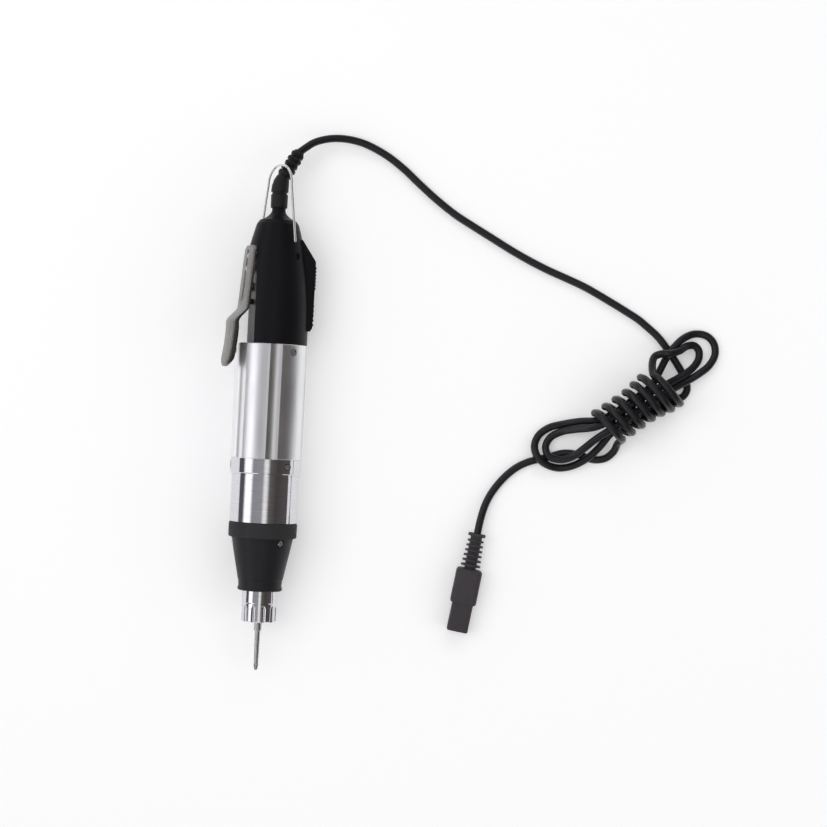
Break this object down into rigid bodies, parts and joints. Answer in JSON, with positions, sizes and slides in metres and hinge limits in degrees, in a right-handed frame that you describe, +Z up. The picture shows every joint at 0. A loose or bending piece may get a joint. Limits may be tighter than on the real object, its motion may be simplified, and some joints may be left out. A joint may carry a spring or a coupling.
{
  "type": "electric torque screwdriver",
  "caption": "Lever-start electric screwdriver with adjustable torque clutch, planetary gear, hanging bail and hanked cord.",
  "frame": {"origin": "on the surface that the tool lies on, under the middle of its box without the cord", "axes": "+Y along the tool's axis from the bit to the cord, +Z up, +X towards the side where the cord lies"},
  "size_m": [0.2599, 0.2807, 0.037],
  "materials": {
    "chrome": "polished",
    "steel": "ground",
    "lever_steel": "polished sheet",
    "wire": "drawn wire",
    "spring_steel": "oiled",
    "aluminium": "satin",
    "black_case": "satin moulded",
    "nose_black": "matte moulded",
    "rubber_ring": "matte",
    "bronze": "sintered",
    "copper": "enamelled wire",
    "magnet": "ferrite",
    "laminations": "stacked steel",
    "carbon": "carbon",
    "cream_plastic": "moulded",
    "switch_black": "moulded",
    "plunger_black": "moulded",
    "board": "solder mask",
    "cord_black": "glossy cord",
    "boot_black": "moulded",
    "connector_grey": "moulded",
    "contact": "plated"
  },
  "bodies": {
    "housing": {"front_bush": "bronze", "thread_sleeve": "steel", "nose_collar": "nose_black", "nose_cone": "nose_black", "nose_screws": "steel", "clutch_spring": "spring_steel", "carrier_bush": "bronze", "rubber_ring": "rubber_ring", "gear_case": "chrome", "ring_gear": "steel", "gear_plate": "steel", "coupling_ring": "chrome", "coupling_screws": "steel", "motor_housing": "aluminium", "motor_screws": "steel", "motor_can": "spring_steel", "magnets": "magnet", "motor_end_cap": "cream_plastic", "motor_bushes": "bronze", "brushes": "carbon", "rear_housing": "black_case", "circuit_board": "board", "start_switch": "switch_black", "lever_pin": "steel", "lever_spring": "spring_steel", "reversing_switch": "switch_black", "cord_socket": "switch_black", "cord_plug": "boot_black", "cord_run": "cord_black", "cord_hank": "cord_black", "cord_tail": "cord_black", "end_connector": "connector_grey", "end_contacts": "contact"},
    "rotor": {"rotor": "laminations", "windings": "copper", "commutator": "copper"},
    "middle_carrier": {"middle_carrier": "steel"},
    "planet_1a": {"planet_1a": "steel"},
    "planet_1b": {"planet_1b": "steel"},
    "planet_1c": {"planet_1c": "steel"},
    "output_carrier": {"output_carrier": "steel", "clutch_balls": "chrome"},
    "planet_2a": {"planet_2a": "steel"},
    "planet_2b": {"planet_2b": "steel"},
    "planet_2c": {"planet_2c": "steel"},
    "spindle": {"spindle": "steel", "bit": "steel", "bit_ball": "chrome", "bit_clip": "spring_steel"},
    "clutch_plate": {"clutch_plate": "steel"},
    "thrust_race": {"thrust_race": "steel", "thrust_balls": "chrome"},
    "spring_pusher": {"pusher_pins": "steel", "spring_seat": "steel"},
    "torque_nut": {"torque_nut": "chrome"},
    "start_lever": {"start_lever": "lever_steel", "lever_lug": "steel"},
    "switch_plunger": {"switch_plunger": "plunger_black"},
    "reversing_knob": {"reversing_knob": "switch_black"},
    "bail": {"bail": "wire"}
  },
  "joints": [
    {"name": "rotor_spin", "type": "hinge", "parent": "housing", "child": "rotor", "pos_m": [0.00211, -0.00133, 0.0185], "axis": [0, 1, 0], "continuous": true},
    {"name": "middle_carrier_spin", "type": "hinge", "parent": "housing", "child": "middle_carrier", "pos_m": [0.00211, -0.04532, 0.0185], "axis": [0, 1, 0], "continuous": true},
    {"name": "output_carrier_spin", "type": "hinge", "parent": "housing", "child": "output_carrier", "pos_m": [0.00211, -0.05633, 0.0185], "axis": [0, 1, 0], "continuous": true},
    {"name": "spindle_spin", "type": "hinge", "parent": "housing", "child": "spindle", "pos_m": [0.00211, -0.08132, 0.0185], "axis": [0, 1, 0], "continuous": true},
    {"name": "planet_1a_spin", "type": "hinge", "parent": "middle_carrier", "child": "planet_1a", "pos_m": [0.01004, -0.04072, 0.01682], "axis": [0, 1, 0], "continuous": true},
    {"name": "planet_2a_spin", "type": "hinge", "parent": "output_carrier", "child": "planet_2a", "pos_m": [0.01004, -0.05013, 0.01682], "axis": [0, 1, 0], "continuous": true},
    {"name": "planet_1b_spin", "type": "hinge", "parent": "middle_carrier", "child": "planet_1b", "pos_m": [-0.00331, -0.04072, 0.01248], "axis": [0, 1, 0], "continuous": true},
    {"name": "planet_2b_spin", "type": "hinge", "parent": "output_carrier", "child": "planet_2b", "pos_m": [-0.00331, -0.05013, 0.01248], "axis": [0, 1, 0], "continuous": true},
    {"name": "planet_1c_spin", "type": "hinge", "parent": "middle_carrier", "child": "planet_1c", "pos_m": [-0.00039, -0.04072, 0.0262], "axis": [0, 1, 0], "continuous": true},
    {"name": "planet_2c_spin", "type": "hinge", "parent": "output_carrier", "child": "planet_2c", "pos_m": [-0.00039, -0.05013, 0.0262], "axis": [0, 1, 0], "continuous": true},
    {"name": "clutch_lift", "type": "slide", "parent": "spindle", "child": "clutch_plate", "axis": [0, -1, 0], "range_m": [0, 0.0009], "stiffness_N_per_m": 2000, "deforming": ["clutch_spring"]},
    {"name": "race_lift", "type": "slide", "parent": "housing", "child": "thrust_race", "axis": [0, -1, 0], "range_m": [0, 0.0009]},
    {"name": "nut_travel", "type": "slide", "parent": "housing", "child": "spring_pusher", "axis": [0, 1, 0], "range_m": [-0.0005, 0.004], "deforming": ["clutch_spring"]},
    {"name": "nut_turn", "type": "hinge", "parent": "spring_pusher", "child": "torque_nut", "pos_m": [0.00211, -0.09732, 0.0185], "axis": [0, 1, 0], "range_deg": [-181, 1441]},
    {"name": "lever_press", "type": "hinge", "parent": "housing", "child": "start_lever", "pos_m": [-0.00659, 0.08447, 0.02035], "axis": [0.2079, 0, 0.9781], "range_deg": [0, 2.7], "stiffness_Nm_per_rad": 1.5, "springref_deg": -2.86, "deforming": ["lever_spring"]},
    {"name": "plunger_press", "type": "slide", "parent": "housing", "child": "switch_plunger", "axis": [0.9781, 0, -0.2079], "range_m": [0, 0.0016]},
    {"name": "reversing_slide", "type": "slide", "parent": "housing", "child": "reversing_knob", "axis": [0, 1, 0], "range_m": [-0.0022, 0.0022]},
    {"name": "bail_swing", "type": "hinge", "parent": "housing", "child": "bail", "pos_m": [0.00211, 0.09068, 0.0185], "axis": [0.6691, 0, 0.7431], "range_deg": [0, 95]}
  ],
  "couplings": [
    {"joint": "middle_carrier_spin", "follows": "rotor_spin", "ratio": 0.22222},
    {"joint": "output_carrier_spin", "follows": "rotor_spin", "ratio": 0.049383},
    {"joint": "spindle_spin", "follows": "rotor_spin", "ratio": 0.049383},
    {"joint": "planet_1a_spin", "follows": "rotor_spin", "ratio": -0.62222},
    {"joint": "planet_2a_spin", "follows": "rotor_spin", "ratio": -0.13827},
    {"joint": "planet_1b_spin", "follows": "rotor_spin", "ratio": -0.62222},
    {"joint": "planet_2b_spin", "follows": "rotor_spin", "ratio": -0.13827},
    {"joint": "planet_1c_spin", "follows": "rotor_spin", "ratio": -0.62222},
    {"joint": "planet_2c_spin", "follows": "rotor_spin", "ratio": -0.13827},
    {"joint": "race_lift", "follows": "clutch_lift", "ratio": 1},
    {"joint": "nut_turn", "follows": "nut_travel", "rad_per_m": 6283.2},
    {"joint": "plunger_press", "follows": "lever_press", "m_per_rad": 0.0255}
  ]
}
